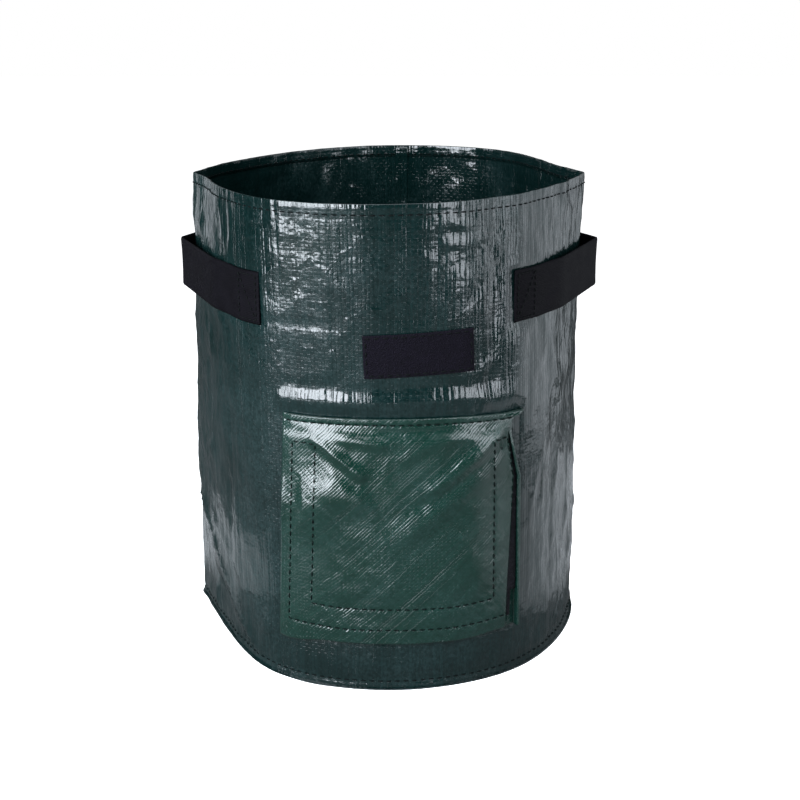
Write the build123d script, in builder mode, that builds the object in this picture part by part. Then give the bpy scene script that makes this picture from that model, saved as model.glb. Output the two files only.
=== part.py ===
"""Potato grow bag of woven polyethylene cloth: a round bag with an access flap and two webbing handles.

The frame is in millimetres, +Z up. The origin is on the floor under the middle of the base, the access
flap faces -Y, and the handles stand out along -X and +X. Every soft layer is a thin solid that lies at
its own distance from the outer face of the wall, so that layers touch face to face.
"""

import math
import os

from build123d import *

# ---------------------------------------------------------------- driving dimensions
BAG_HEIGHT = 350.0
CLOTH = 0.5  # laminated cloth, one layer
TAPE = 1.5  # hook tape or loop tape
WEBBING = 1.5  # handle webbing thickness
THREAD_PROUD = 0.6  # how far a stitch line stands out of its cloth
THREAD_WIDTH = 0.9
RUNNING_GAP = 0.3  # between a moving layer and the fixed one behind it
REACH = 400.0  # longer than any radius of the bag

# Outline of the wall's outer face: the distance from the axis in each direction, at three heights.
# Directions are degrees from +X towards +Y. The first and the seventh are the storage creases, which
# come forward as they rise: each section gives how far, in degrees.
DIRECTIONS = (0, 25, 50, 90, 125, 155, 180, 205, 238, 270, 305, 332)
CREASE_LEFT = DIRECTIONS.index(180)
BASE_OUTLINE = (148, 149, 150, 150, 150, 150, 153, 137, 149, 150, 151, 147)
MIDDLE_OUTLINE = (144, 141, 148, 149, 143, 141, 149, 142, 151, 149, 152, 142)
RIM_OUTLINE = (144, 133, 148, 150, 133, 129, 143, 137, 157, 160, 146, 139)
BASE_CREASE_TURN = -4.0
SECTIONS = (
    (CLOTH, BASE_CREASE_TURN, BASE_OUTLINE),
    (190.0, 1.0, MIDDLE_OUTLINE),
    (BAG_HEIGHT, 6.0, RIM_OUTLINE),
)

HEM_DEPTH = 9.0
RIM_STITCH_HEIGHT = BAG_HEIGHT - 7.0
BACK_SEAM_DIRECTION = 86.0
BACK_SEAM_WIDTH = 11.0
BASE_LIP = 2.5  # how far the base sheet shows outside the wall
BASE_STITCH_HEIGHT = 6.0
DRAIN_HOLE_RADIUS = 3.0
DRAIN_RING_RADIUS = 90.0
DRAIN_HOLE_COUNT = 8

FLAP_LEFT, FLAP_RIGHT = -76.0, 91.0
FLAP_BOTTOM, FLAP_FOLD = 38.0, 200.0
FLAP_SEAM_TOP = 207.0
FLAP_SEAM_GAP = 0.6  # from the sewn strip down to the part of the flap that moves
FLAP_STITCH_INSET = 7.5
TAPE_WIDTH = 20.0
TAPE_STITCH_MARGIN = 2.0
TAPE_TOP = 192.0
TAPE_INSET = FLAP_STITCH_INSET - TAPE_STITCH_MARGIN  # from the flap's edge to its tape

PATCH_WIDTH, PATCH_HEIGHT = 74.0, 30.0
PATCH_CENTRE = (21.5, 249.0)
PATCH_TILT = 2.3

STRAP_WIDTH = 37.0
STRAP_CENTRE_HEIGHT = 281.5
STRAP_STITCHED_LENGTH = 18.0  # of each sewn end, along the strap
GRIP_GAP = 0.6  # between a strap's free middle and the sewn legs that it hangs from
ROOT_X = 122.5  # where both legs of a strap end, so that its middle turns about one line
# Each strap in plan: the directions of its cut ends, those where it leaves the wall, the points where
# its inner face leaves the wall, and the inner face of its free middle, from the front to the rear.
STRAPS = {
    "right": {
        "turn": -1,
        "cut_ends": (-55.0, 55.0),
        "leaves_wall": (-45.5, 45.5),
        "off_wall": ((101.6, -104.8), (101.7, 104.9)),
        "middle": [(ROOT_X, -78.0), (156.5, -4.0), (146.0, 14.0), (ROOT_X, 71.0)],
    },
    "left": {
        "turn": 1,
        "cut_ends": (-126.0, 126.0),
        "leaves_wall": (-136.5, 135.5),
        "off_wall": ((-106.5, -102.4), (-96.1, 95.8)),
        "middle": [(-ROOT_X, -78.0), (-155.0, -3.0), (-146.0, 17.0), (-ROOT_X, 68.0)],
    },
}


# ---------------------------------------------------------------- layers that follow the wall
def outline_points(radii, crease_turn, offset):
    """The outline's points, moved outwards by offset, with the first one repeated at the end."""
    angles = list(DIRECTIONS)
    angles[0] -= crease_turn
    angles[CREASE_LEFT] += crease_turn
    around = [
        ((r + offset) * math.cos(math.radians(a)), (r + offset) * math.sin(math.radians(a)))
        for a, r in zip(angles, radii)
    ]
    return around + around[:1]


def bag_volume(offset):
    """All the space inside a surface that lies offset outside the wall's outer face."""
    with BuildPart() as volume:
        for height, crease_turn, radii in SECTIONS:
            points = outline_points(radii, crease_turn, offset)
            with BuildSketch(Plane.XY.offset(height)):
                with BuildLine():
                    Spline(*points[: CREASE_LEFT + 1])
                    Spline(*points[CREASE_LEFT:])
                make_face()
        loft()
    return volume.part


VOLUMES = {}


def volume_at(offset):
    """bag_volume, made once for each offset, so that neighbouring layers share one surface."""
    key = round(offset, 3)
    if key not in VOLUMES:
        VOLUMES[key] = bag_volume(key)
    return VOLUMES[key]


def facing(direction):
    """A plane through the bag's axis that faces a direction, with its own +Y pointing up."""
    a = math.radians(direction)
    return Plane(origin=(0, 0, 0), x_dir=(-math.sin(a), math.cos(a), 0), z_dir=(math.cos(a), math.sin(a), 0))


def keep_layer(inner, outer):
    """Cuts the part being built back to the layer between two offsets from the wall's outer face."""
    add(volume_at(outer), mode=Mode.INTERSECT)
    add(volume_at(inner), mode=Mode.SUBTRACT)


FRONT = facing(270)


def front_rectangle(left, right, bottom, top):
    """A rectangle on the plane in use, given by its edges."""
    with Locations(((left + right) / 2, (bottom + top) / 2)):
        Rectangle(right - left, top - bottom)


def write(part, name):
    """Names a finished piece and writes it as its own file."""
    part.label = name
    export_step(part, f"parts/{name}.step")


os.makedirs("parts", exist_ok=True)

# ---------------------------------------------------------------- wall and base
WINDOW_LEFT = FLAP_LEFT + TAPE_INSET + TAPE_WIDTH + 4
WINDOW_RIGHT = FLAP_RIGHT - TAPE_INSET - TAPE_WIDTH - 4
WINDOW_BOTTOM = FLAP_BOTTOM + FLAP_STITCH_INSET + TAPE_WIDTH + 4
WINDOW_TOP = TAPE_TOP - 6

with BuildPart() as single_layer_space:
    add(volume_at(-CLOTH))
    with Locations((0, 0, HEM_DEPTH)):
        Box(
            2 * REACH,
            2 * REACH,
            BAG_HEIGHT - 2 * HEM_DEPTH,
            align=(Align.CENTER, Align.CENTER, Align.MIN),
            mode=Mode.INTERSECT,
        )
    with BuildSketch(facing(BACK_SEAM_DIRECTION)):
        front_rectangle(-BACK_SEAM_WIDTH / 2, BACK_SEAM_WIDTH / 2, 0, BAG_HEIGHT)
    extrude(amount=REACH, mode=Mode.SUBTRACT)

with BuildPart() as side_wall:
    add(volume_at(0))
    add(volume_at(-2 * CLOTH), mode=Mode.SUBTRACT)
    add(single_layer_space.part, mode=Mode.SUBTRACT)
    with BuildSketch(FRONT):
        front_rectangle(WINDOW_LEFT, WINDOW_RIGHT, WINDOW_BOTTOM, WINDOW_TOP)
    extrude(amount=REACH, mode=Mode.SUBTRACT)
write(side_wall.part, "side_wall")

lip_points = outline_points(BASE_OUTLINE, BASE_CREASE_TURN, BASE_LIP)
with BuildPart() as base_panel:
    with BuildSketch(Plane.XY):
        with BuildLine():
            Spline(*lip_points[: CREASE_LEFT + 1])
            Spline(*lip_points[CREASE_LEFT:])
        make_face()
    extrude(amount=CLOTH)
    with PolarLocations(DRAIN_RING_RADIUS, DRAIN_HOLE_COUNT):
        Hole(DRAIN_HOLE_RADIUS)
write(base_panel.part, "base_panel")


def ring_of_thread(height, inner, outer):
    """A closed stitch line round the whole bag."""
    with BuildPart() as ring:
        with BuildSketch(Plane.XY.offset(height)):
            Rectangle(2 * REACH, 2 * REACH)
        extrude(amount=THREAD_WIDTH)
        keep_layer(inner, outer)
    return ring.part


hem_inside = -2 * CLOTH
rim_hem_thread = Compound(
    children=[
        ring_of_thread(RIM_STITCH_HEIGHT, 0, THREAD_PROUD),
        ring_of_thread(RIM_STITCH_HEIGHT, hem_inside - THREAD_PROUD, hem_inside),
    ]
)
write(rim_hem_thread, "rim_hem_thread")
write(ring_of_thread(BASE_STITCH_HEIGHT, 0, THREAD_PROUD), "base_seam_thread")

with BuildPart() as back_seam_thread:
    with BuildSketch(facing(BACK_SEAM_DIRECTION)):
        for side in (-1, 1):
            x = side * (BACK_SEAM_WIDTH / 2 - TAPE_STITCH_MARGIN)
            front_rectangle(x - THREAD_WIDTH / 2, x + THREAD_WIDTH / 2, HEM_DEPTH + 1, RIM_STITCH_HEIGHT - 1)
    extrude(amount=REACH)
    keep_layer(0, THREAD_PROUD)
write(back_seam_thread.part, "back_seam_thread")


# ---------------------------------------------------------------- access flap and its tapes
LOOP_FACE = TAPE
HOOK_BACK = LOOP_FACE + RUNNING_GAP
FLAP_BACK = HOOK_BACK + TAPE
FLAP_FACE = FLAP_BACK + CLOTH

TAPE_LEFT = FLAP_LEFT + TAPE_INSET
TAPE_RIGHT = FLAP_RIGHT - TAPE_INSET
TAPE_BOTTOM = FLAP_BOTTOM + FLAP_STITCH_INSET + TAPE_STITCH_MARGIN
TAPE_STRIPS = {
    "left": (TAPE_LEFT, TAPE_LEFT + TAPE_WIDTH, TAPE_BOTTOM + TAPE_WIDTH, TAPE_TOP),
    "right": (TAPE_RIGHT - TAPE_WIDTH, TAPE_RIGHT, TAPE_BOTTOM + TAPE_WIDTH, TAPE_TOP),
    "bottom": (TAPE_LEFT, TAPE_RIGHT, TAPE_BOTTOM, TAPE_BOTTOM + TAPE_WIDTH),
}

with BuildPart() as flap_panel:
    with BuildSketch(FRONT):
        front_rectangle(FLAP_LEFT, FLAP_RIGHT, FLAP_BOTTOM, FLAP_FOLD)
    extrude(amount=REACH)
    keep_layer(FLAP_BACK, FLAP_FACE)
write(flap_panel.part, "flap_panel")

with BuildPart() as flap_hinge_hem:
    with BuildSketch(FRONT):
        front_rectangle(FLAP_LEFT, FLAP_RIGHT + 4, FLAP_FOLD + FLAP_SEAM_GAP, FLAP_SEAM_TOP)
    extrude(amount=REACH)
    keep_layer(0, 2 * CLOTH)
write(flap_hinge_hem.part, "flap_hinge_hem")

with BuildPart() as flap_hinge_thread:
    with BuildSketch(FRONT):
        front_rectangle(
            FLAP_LEFT + 2,
            FLAP_RIGHT - 2,
            FLAP_FOLD + FLAP_SEAM_GAP + 1,
            FLAP_FOLD + FLAP_SEAM_GAP + 1 + THREAD_WIDTH,
        )
    extrude(amount=REACH)
    keep_layer(2 * CLOTH, 2 * CLOTH + THREAD_PROUD)
write(flap_hinge_thread.part, "flap_hinge_thread")

for side, edges in TAPE_STRIPS.items():
    for kind, inner, outer in (("loop", 0, LOOP_FACE), ("hook", HOOK_BACK, FLAP_BACK)):
        with BuildPart() as tape_strip:
            with BuildSketch(FRONT):
                front_rectangle(*edges)
            extrude(amount=REACH)
            keep_layer(inner, outer)
        write(tape_strip.part, f"{kind}_tape_{side}")


def u_shaped_thread(left, right, bottom):
    """A stitch line down one side, along the bottom and up the other side of the flap."""
    half = THREAD_WIDTH / 2
    top = TAPE_TOP - TAPE_STITCH_MARGIN
    with BuildPart() as stitches:
        with BuildSketch(FRONT):
            front_rectangle(left - half, right + half, bottom - half, top)
            with Locations(((left + right) / 2, (bottom + half + top) / 2 + 1)):
                Rectangle(right - left - 2 * half, top - bottom - half + 2, mode=Mode.SUBTRACT)
        extrude(amount=REACH)
        keep_layer(FLAP_FACE, FLAP_FACE + THREAD_PROUD)
    return stitches.part


stitch_left = TAPE_LEFT + TAPE_STITCH_MARGIN
stitch_right = TAPE_RIGHT - TAPE_STITCH_MARGIN
stitch_bottom = TAPE_BOTTOM + TAPE_STITCH_MARGIN
stitch_spacing = TAPE_WIDTH - 2 * TAPE_STITCH_MARGIN
write(u_shaped_thread(stitch_left, stitch_right, stitch_bottom), "flap_outer_thread")
write(
    u_shaped_thread(
        stitch_left + stitch_spacing, stitch_right - stitch_spacing, stitch_bottom + stitch_spacing
    ),
    "flap_inner_thread",
)


# ---------------------------------------------------------------- patch that holds the flap up
patch_location = Location((*PATCH_CENTRE, 0), (0, 0, PATCH_TILT))

with BuildPart() as keeper_patch:
    with BuildSketch(FRONT):
        with Locations(patch_location):
            Rectangle(PATCH_WIDTH, PATCH_HEIGHT)
    extrude(amount=REACH)
    keep_layer(0, TAPE)
write(keeper_patch.part, "keeper_patch")

stitched_width = PATCH_WIDTH - 2 * TAPE_STITCH_MARGIN
stitched_height = PATCH_HEIGHT - 2 * TAPE_STITCH_MARGIN
with BuildPart() as keeper_patch_thread:
    with BuildSketch(FRONT):
        with Locations(patch_location):
            Rectangle(stitched_width, stitched_height)
            Rectangle(
                stitched_width - 2 * THREAD_WIDTH,
                stitched_height - 2 * THREAD_WIDTH,
                mode=Mode.SUBTRACT,
            )
    extrude(amount=REACH)
    keep_layer(TAPE, TAPE + THREAD_PROUD)
write(keeper_patch_thread.part, "keeper_patch_thread")


# ---------------------------------------------------------------- handles
STRAP_BOTTOM = STRAP_CENTRE_HEIGHT - STRAP_WIDTH / 2


def across(start, end, turn):
    """The unit vector across a run of strap, pointing away from the bag."""
    length = math.dist(start, end)
    return (turn * (start[1] - end[1]) / length, turn * (end[0] - start[0]) / length)


def moved(point, vector, distance):
    return (point[0] + distance * vector[0], point[1] + distance * vector[1])


def strap_band(points, turn):
    """The plan outline of a strap whose inner face runs through the points."""
    normals = [across(start, end, turn) for start, end in zip(points[:-1], points[1:])]
    outer = [moved(points[0], normals[0], WEBBING)]
    for corner, before, after in zip(points[1:-1], normals[:-1], normals[1:]):
        bisector = (before[0] + after[0], before[1] + after[1])
        outer.append(moved(corner, bisector, WEBBING / (1 + before[0] * after[0] + before[1] * after[1])))
    outer.append(moved(points[-1], normals[-1], WEBBING))
    return list(points) + outer[::-1]


def strap_leg(cut_end, leaves_wall, run, turn):
    """One end of a strap: sewn flat to the wall between two directions, then standing off it."""
    edges = [(REACH * math.cos(a), REACH * math.sin(a)) for a in map(math.radians, (cut_end, leaves_wall))]
    with BuildPart() as leg:
        with BuildSketch(Plane.XY.offset(STRAP_BOTTOM)):
            with BuildLine():
                Polyline((0, 0), *edges, close=True)
            make_face()
        extrude(amount=STRAP_WIDTH)
        keep_layer(0, WEBBING)
        with BuildSketch(Plane.XY.offset(STRAP_BOTTOM)):
            with BuildLine():
                Polyline(*strap_band(run, turn), close=True)
            make_face()
        extrude(amount=STRAP_WIDTH)
        add(volume_at(0), mode=Mode.SUBTRACT)
    return leg.part


def strap_thread(direction):
    """The box of stitches that holds one end of a strap."""
    width = STRAP_WIDTH - 2 * TAPE_STITCH_MARGIN
    with BuildPart() as box_stitch:
        with BuildSketch(facing(direction)):
            with Locations((0, STRAP_CENTRE_HEIGHT)):
                Rectangle(STRAP_STITCHED_LENGTH, width)
                Rectangle(
                    STRAP_STITCHED_LENGTH - 2 * THREAD_WIDTH,
                    width - 2 * THREAD_WIDTH,
                    mode=Mode.SUBTRACT,
                )
        extrude(amount=REACH)
        keep_layer(WEBBING, WEBBING + THREAD_PROUD)
    return box_stitch.part


def along(start, end, distance):
    """The point at a distance from start on the way to end."""
    share = distance / math.dist(start, end)
    return (start[0] + share * (end[0] - start[0]), start[1] + share * (end[1] - start[1]))


for side, strap in STRAPS.items():
    turn = strap["turn"]
    middle = strap["middle"]
    with BuildPart() as grip:
        with BuildSketch(Plane.XY.offset(STRAP_BOTTOM)):
            with BuildLine():
                Polyline(*strap_band(middle, turn), close=True)
            make_face()
        extrude(amount=STRAP_WIDTH)
    write(grip.part, f"{side}_handle_grip")

    for place, root, cut_end, leaves_wall, off_wall in zip(
        ("front", "rear"),
        (middle[0], middle[-1]),
        strap["cut_ends"],
        strap["leaves_wall"],
        strap["off_wall"],
    ):
        tip = along(root, off_wall, GRIP_GAP)
        run = [off_wall, tip] if place == "front" else [tip, off_wall]
        write(strap_leg(cut_end, leaves_wall, run, turn), f"{side}_handle_{place}_leg")
        write(strap_thread((cut_end + leaves_wall) / 2), f"{side}_handle_{place}_thread")
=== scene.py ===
"""The look of a potato grow bag: glossy woven cloth, a sewn access flap, and webbing handles.

Everything is in metres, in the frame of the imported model: +Z is up and the access flap faces -Y.
A place on the wall is (turn, height): turn is the angle from the front, positive towards +X.
"""

import math

import bmesh
import bpy
import numpy as np
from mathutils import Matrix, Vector
from mathutils.bvhtree import BVHTree


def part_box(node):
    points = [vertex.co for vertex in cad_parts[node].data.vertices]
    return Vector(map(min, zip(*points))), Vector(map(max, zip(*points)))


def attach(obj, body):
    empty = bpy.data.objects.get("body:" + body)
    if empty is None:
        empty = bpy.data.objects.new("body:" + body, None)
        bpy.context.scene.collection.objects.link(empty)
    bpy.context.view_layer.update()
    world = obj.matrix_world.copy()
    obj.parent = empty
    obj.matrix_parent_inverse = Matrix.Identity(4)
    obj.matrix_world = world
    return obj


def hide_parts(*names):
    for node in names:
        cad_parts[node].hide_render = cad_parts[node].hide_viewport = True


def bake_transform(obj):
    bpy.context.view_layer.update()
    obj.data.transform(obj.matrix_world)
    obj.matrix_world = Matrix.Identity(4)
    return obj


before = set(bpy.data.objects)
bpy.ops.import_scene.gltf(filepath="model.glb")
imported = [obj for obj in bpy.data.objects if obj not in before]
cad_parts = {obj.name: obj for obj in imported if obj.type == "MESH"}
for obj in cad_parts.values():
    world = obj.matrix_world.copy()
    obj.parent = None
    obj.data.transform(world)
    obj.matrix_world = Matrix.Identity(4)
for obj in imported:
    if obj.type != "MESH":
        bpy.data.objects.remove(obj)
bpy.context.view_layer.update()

MM = 0.001

# ---- sizes shared by the pieces
CLOTH = 0.45 * MM
WEBBING = 1.4 * MM
TAPE = 1.3 * MM
MEAN_RADIUS = 148.5 * MM  # turns an angle into a length of cloth
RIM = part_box("side_wall")[1].z
HEM_DEPTH = 9 * MM
STITCH_PITCH = 6.1 * MM
STITCH_LENGTH = 4.6 * MM
THREAD_RADIUS = 0.46 * MM

FLAP_LOW, FLAP_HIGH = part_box("flap_panel")
FLAP_LEFT, FLAP_RIGHT, FLAP_BOTTOM = FLAP_LOW.x, FLAP_HIGH.x, FLAP_LOW.z
FLAP_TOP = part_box("flap_hinge_hem")[1].z - 3.5 * MM
FLAP_STITCH_HEIGHT = 199.3 * MM
ABOVE_HEM = 204 * MM  # where the wall is clear of the flap, and the flap starts to bend
OUTER_ROW_LOW, OUTER_ROW_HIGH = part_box("flap_outer_thread")
INNER_ROW_LOW, INNER_ROW_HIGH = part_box("flap_inner_thread")
ROW_TOP = 185 * MM
TAPE_FACE = 1.7 * MM  # the hook tape's inner face, out from the wall
FLAP_FACE = TAPE_FACE + TAPE + CLOTH  # the flap's outer face over its tape

WINDOW_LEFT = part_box("hook_tape_left")[1].x + 4 * MM
WINDOW_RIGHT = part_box("hook_tape_right")[0].x - 4 * MM
WINDOW_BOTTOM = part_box("hook_tape_bottom")[1].z + 2 * MM
WINDOW_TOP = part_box("hook_tape_left")[1].z - 6 * MM


# ---- profiles used to shape cloth
def fade(value, start, end):
    """0 before start, 1 after end, and a smooth step between them."""
    t = np.clip((value - start) / (end - start), 0, 1)
    return t * t * (3 - 2 * t)


def band(value, low, high, soft):
    """1 between low and high, with both edges fading over soft."""
    return fade(value, low - soft, low) * (1 - fade(value, high, high + soft))


def away_from_line(u, v, start, end):
    """How far each place (u, v) is from the line between two places."""
    du, dv = end[0] - start[0], end[1] - start[1]
    share = np.clip(((u - start[0]) * du + (v - start[1]) * dv) / (du * du + dv * dv), 0, 1)
    return np.hypot(u - start[0] - share * du, v - start[1] - share * dv)


def soft_fold(u, v, start, end, width, height):
    """A rounded ridge along a line, or a channel if its height is negative."""
    return height * np.exp(-((away_from_line(u, v, start, end) / width) ** 2))


def sharp_fold(u, v, start, end, width, height):
    """A creased ridge along a line, with slopes that meet at an edge."""
    return height * np.exp(-away_from_line(u, v, start, end) / width)


def folds(u, v, rows):
    """Several folds at once. Each row is a kind and what it takes, with lengths in millimetres."""
    total = np.zeros(np.broadcast(u, v).shape)
    for kind, start, end, width, height in rows:
        ends = [(a * MM, b * MM) for a, b in (start, end)]
        total += kind(u, v, *ends, width * MM, height * MM)
    return total


def lattice_noise(u, v, cell_u, cell_v, seed):
    """Smooth noise of about -1 to 1 over cells of a given size."""
    size = 96
    values = np.random.default_rng(seed).uniform(-1, 1, (size, size))
    columns, rows = np.broadcast_arrays(u / cell_u, v / cell_v)
    i, j = np.floor(columns).astype(int), np.floor(rows).astype(int)
    fu, fv = columns - i, rows - j
    fu, fv = fu * fu * (3 - 2 * fu), fv * fv * (3 - 2 * fv)

    def value(di, dj):
        return values[(i + di) % size, (j + dj) % size]

    low = value(0, 0) * (1 - fu) + value(1, 0) * fu
    high = value(0, 1) * (1 - fu) + value(1, 1) * fu
    return low * (1 - fv) + high * fv


def crumple(u, v, cell, seed, lean=0.35):
    """Creases of stiff film: flat facets between sharp folds, of about 0 to 1."""
    first = np.abs(lattice_noise(u + lean * v, v - lean * u, cell, 1.7 * cell, seed))
    second = np.abs(lattice_noise(u - lean * v, v + lean * u, 0.8 * cell, 1.1 * cell, seed + 1))
    return 1 - np.minimum(1, first + second)


def lengths_along(points):
    """How far along a line each of its points is."""
    return np.concatenate([[0], np.cumsum(np.linalg.norm(np.diff(points, axis=0), axis=1))])


def read_along(table, travelled, distance):
    """A table of places along a line, read at other distances along it."""
    return np.stack([np.interp(distance, travelled, column) for column in table.T], axis=-1)


def walk(corners, count):
    """Evenly spaced places on the straight runs between corners, one array for each coordinate."""
    corners = np.array(corners)
    travelled = lengths_along(corners)
    return read_along(corners, travelled, np.linspace(0, travelled[-1], count)).T


def unit(vectors):
    """Vectors scaled to a length of 1."""
    return vectors / np.linalg.norm(vectors, axis=-1, keepdims=True)


def tilted(across, up, tilt):
    """Places on a flat strip, turned by its tilt."""
    cosine, sine = math.cos(tilt), math.sin(tilt)
    return across * cosine - up * sine, across * sine + up * cosine


# ---- the wall's surface
def read_outline():
    """The CAD wall's outer face: in each direction, its radius as a curve over the height."""
    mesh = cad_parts["side_wall"].data
    tree = BVHTree.FromPolygons(
        [v.co.copy() for v in mesh.vertices], [tuple(p.vertices) for p in mesh.polygons]
    )
    turns = np.linspace(-math.pi, math.pi, 361)
    heights = np.array([4, 30, 60, 195, 240, 290, 345]) * MM  # clear of the window
    radii = np.zeros((len(heights), len(turns)))
    for j, turn in enumerate(turns):
        outward = Vector((math.sin(turn), -math.cos(turn), 0))
        for i, height in enumerate(heights):
            hit = tree.ray_cast(outward * 0.3 + Vector((0, 0, height)), -outward)[0]
            radii[i, j] = math.hypot(hit.x, hit.y)
    return turns, np.polyfit(heights, radii, 2)


TURNS, OUTLINE = read_outline()

HANDLE_LOW, HANDLE_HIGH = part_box("right_handle_grip")
STRAP_BOTTOM, STRAP_TOP = HANDLE_LOW.z, HANDLE_HIGH.z
STRAP_MIDDLE = (STRAP_BOTTOM + STRAP_TOP) / 2
PATCH_LOW, PATCH_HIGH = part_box("keeper_patch")
PATCH_MIDDLE = (PATCH_LOW + PATCH_HIGH) / 2
PATCH_WIDTH, PATCH_HEIGHT, PATCH_TILT = 74 * MM, 30 * MM, math.radians(2.3)
RIM_STITCH_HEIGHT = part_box("rim_hem_thread")[0].z
BASE_STITCH_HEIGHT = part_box("base_seam_thread")[0].z
BACK_SEAM_TURN = math.radians(176)
# The middles of the straps' sewn ends, along the cloth from the front's middle.
STRAP_SEATS = [MEAN_RADIUS * math.radians(turn) for turn in (40, 140, -40, -139)]
SEAT_HALF = 16 * MM
BACK_SEAM_HALF = 5.5 * MM

# Folds in the wall, in millimetres: along the cloth from the front's middle, and up from the floor.
WALL_FOLDS = (
    (soft_fold, (-56, 292), (-55, 346), 4, -0.55),
    (soft_fold, (-38, 240), (-40, 346), 7, 0.5),
    (soft_fold, (-80, 230), (-83, 346), 8, 0.5),
    (soft_fold, (72, 225), (76, 348), 8, -1.1),
    (soft_fold, (96, 210), (99, 349), 7, 0.9),
    (soft_fold, (50, 232), (52, 346), 9, 0.6),
    (sharp_fold, (-108, 266), (-36, 267.5), 1.6, -0.8),
    (soft_fold, (-108, 261), (-40, 262), 3, 0.35),
    (soft_fold, (-72, 214), (88, 215), 5.5, 1.5),
    (soft_fold, (-66, 225), (70, 226), 3.5, -0.5),
    (soft_fold, (38, 329.5), (72, 328), 2, -0.7),
    (soft_fold, (40, 323), (70, 325.5), 2, 0.5),
    (soft_fold, (38, 316), (66, 319), 1.8, -0.7),
    (soft_fold, (44, 309.5), (72, 312), 1.8, -0.6),
    (soft_fold, (86, 309), (104, 313), 2, -0.7),
    (soft_fold, (-30, 226), (-6, 232), 3, 0.7),
    (soft_fold, (56, 232), (74, 240), 3, 0.6),
    (sharp_fold, (-226, 96), (-106, 7), 3.2, 2.6),
    (soft_fold, (-190, 40), (-130, 6), 9, -2.0),
    (sharp_fold, (-196, 8), (-176, 150), 5, 1.2),
    (sharp_fold, (-176, 150), (-150, 200), 4, 0.9),
    (soft_fold, (-150, 60), (-128, 190), 9, -1.1),
    (sharp_fold, (224, 92), (150, 12), 3.4, 2.0),
    (soft_fold, (190, 42), (150, 10), 9, -1.8),
    (sharp_fold, (178, 20), (196, 170), 5, 1.0),
    (soft_fold, (140, 50), (150, 200), 8, -1.0),
    (sharp_fold, (150, 120), (190, 250), 5, 0.8),
    (soft_fold, (-104, 15), (-96, 36), 6, 1.0),
    (soft_fold, (-60, 22), (60, 20), 9, 0.8),
    (sharp_fold, (-222, 330), (-196, 268), 6, 1.2),
    (sharp_fold, (-206, 346), (-182, 250), 5, 0.8),
    (sharp_fold, (205, 344), (216, 262), 5, 0.8),
    (sharp_fold, (300, 40), (340, 300), 6, 1.0),
    (sharp_fold, (-320, 30), (-280, 310), 6, 1.0),
    (sharp_fold, (380, 120), (260, 190), 5, 0.8),
    (sharp_fold, (-400, 210), (-260, 150), 5, 0.8),
    (soft_fold, (-440, 60), (-410, 320), 12, -1.4),
    (soft_fold, (360, 20), (370, 200), 12, -1.4),
)


def relief_along(along, height):
    """How far the cloth stands out from its outline: folds, puckers at the seams and crumpled film."""
    relief = folds(along, height, WALL_FOLDS)

    sides = fade(np.abs(along), 90 * MM, 150 * MM)
    relief += (0.25 + 0.75 * sides) * 1.7 * MM * crumple(along, height, 34 * MM, 11)
    relief += (0.35 + 0.65 * sides) * 0.8 * MM * crumple(along, height, 13 * MM, 23)
    relief += 0.6 * MM * lattice_noise(along, height, 45 * MM, 120 * MM, 31)
    relief += 0.12 * MM * lattice_noise(along, height, 3.2 * MM, 40 * MM, 41)

    under_flap = band(along, FLAP_LEFT, FLAP_RIGHT + 5 * MM, 6 * MM)
    under_flap = under_flap * band(height, FLAP_BOTTOM, ABOVE_HEM, 5 * MM)
    relief *= 1 - 0.9 * under_flap
    relief -= 0.5 * MM * under_flap
    for middle in STRAP_SEATS:
        seat = band(along, middle - SEAT_HALF, middle + SEAT_HALF, 5 * MM)
        relief *= 1 - 0.95 * seat * band(height, STRAP_BOTTOM, STRAP_TOP, 3 * MM)
    relief *= 0.2 + 0.8 * fade(height, 1 * MM, 14 * MM)  # the base keeps the cloth's lower end round

    ripple = np.cos(2 * math.pi * along / STITCH_PITCH)
    for seam, depth in ((RIM_STITCH_HEIGHT, 0.35), (BASE_STITCH_HEIGHT, 0.5)):
        off_seam = height - seam
        relief -= depth * MM * np.exp(-((off_seam / (1.6 * MM)) ** 2)) * (0.7 + 0.3 * ripple)
        relief += 0.16 * MM * ripple * np.exp(-np.abs(off_seam) / (5 * MM))

    # Cloth gathers in small pleats above and below the straps' front ends.
    pleats = 0.3 * MM * np.sin(2 * math.pi * along / (7 * MM))
    pleats *= band(np.abs(along), 108 * MM, 136 * MM, 6 * MM)
    for edge in (STRAP_BOTTOM, STRAP_TOP):
        relief += pleats * np.exp(-np.abs(height - edge) / (5 * MM))
    return relief


def wall_relief(turn, height):
    """The relief at a turn, with its two ends run together at the middle of the back."""
    along = MEAN_RADIUS * turn
    round_length = 2 * math.pi * MEAN_RADIUS
    share = 0.5 * fade(np.abs(along), round_length / 2 - 40 * MM, round_length / 2)
    other_way = along - np.sign(along) * round_length
    return (1 - share) * relief_along(along, height) + share * relief_along(other_way, height)


def outline_radius(turn, height):
    """The CAD outline's radius at a turn and a height."""
    a, b, c = (np.interp(turn, TURNS, row) for row in OUTLINE)
    return (a * height + b) * height + c


def wall_radius(turn, height):
    turn = (turn + math.pi) % (2 * math.pi) - math.pi
    level = np.clip(height, 0, RIM)
    return outline_radius(turn, level) + wall_relief(turn, level)


def at(radius, turn, height):
    """Points from a radius, a turn and a height, as an array whose last axis is x, y, z."""
    radius, turn, height = np.broadcast_arrays(radius, turn, height)
    return np.stack([radius * np.sin(turn), -radius * np.cos(turn), height], axis=-1)


def wall_point(turn, height, lift=0.0):
    """A point on the wall's outer face, or lifted off it."""
    return at(wall_radius(turn, height) + lift, turn, height)


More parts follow.
